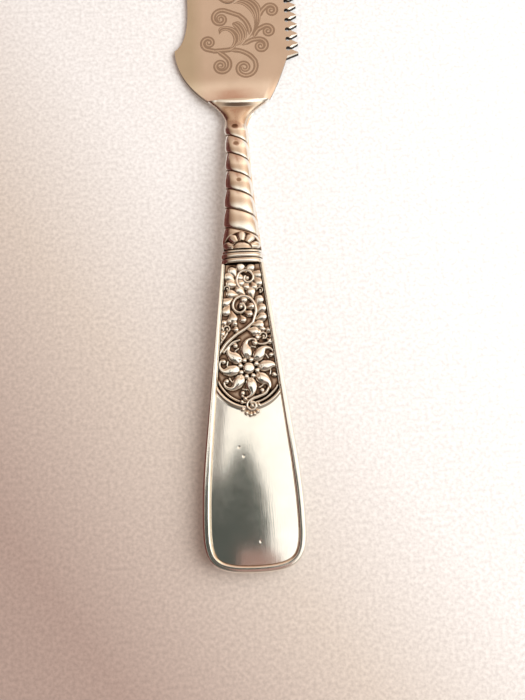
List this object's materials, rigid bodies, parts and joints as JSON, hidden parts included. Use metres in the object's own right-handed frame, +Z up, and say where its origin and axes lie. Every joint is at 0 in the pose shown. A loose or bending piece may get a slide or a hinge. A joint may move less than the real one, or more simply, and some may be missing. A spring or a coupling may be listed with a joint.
{
  "type": "serving knife",
  "caption": "Silver serving knife with a broad saw-toothed blade, twisted stem, ringed collar and a flat tapering handle with a raised border and struck scrolling foliage.",
  "frame": {"origin": "middle of the knife's bounding box on the surface that it lies on", "axes": "+Y from the butt of the handle to the tip of the blade, +X toward the saw teeth, +Z up out of the ornamented face"},
  "size_m": [0.0334, 0.2656, 0.0089],
  "materials": {
    "blade_silver": "worn polish with a warm tarnish and engraved scrolls",
    "stem_silver": "worn polish, dark tarnish in the grooves",
    "handle_silver": "worn polish with fine scratches, dark brown tarnish in the recesses",
    "filling_cement": "matte"
  },
  "bodies": {
    "root": {"blade": "blade_silver", "stem": "stem_silver", "collar": "stem_silver", "collar_ring_rear": "stem_silver", "collar_ring_front": "stem_silver", "handle_front": "handle_silver", "handle_back": "handle_silver", "handle_filling": "filling_cement"}
  },
  "joints": []
}
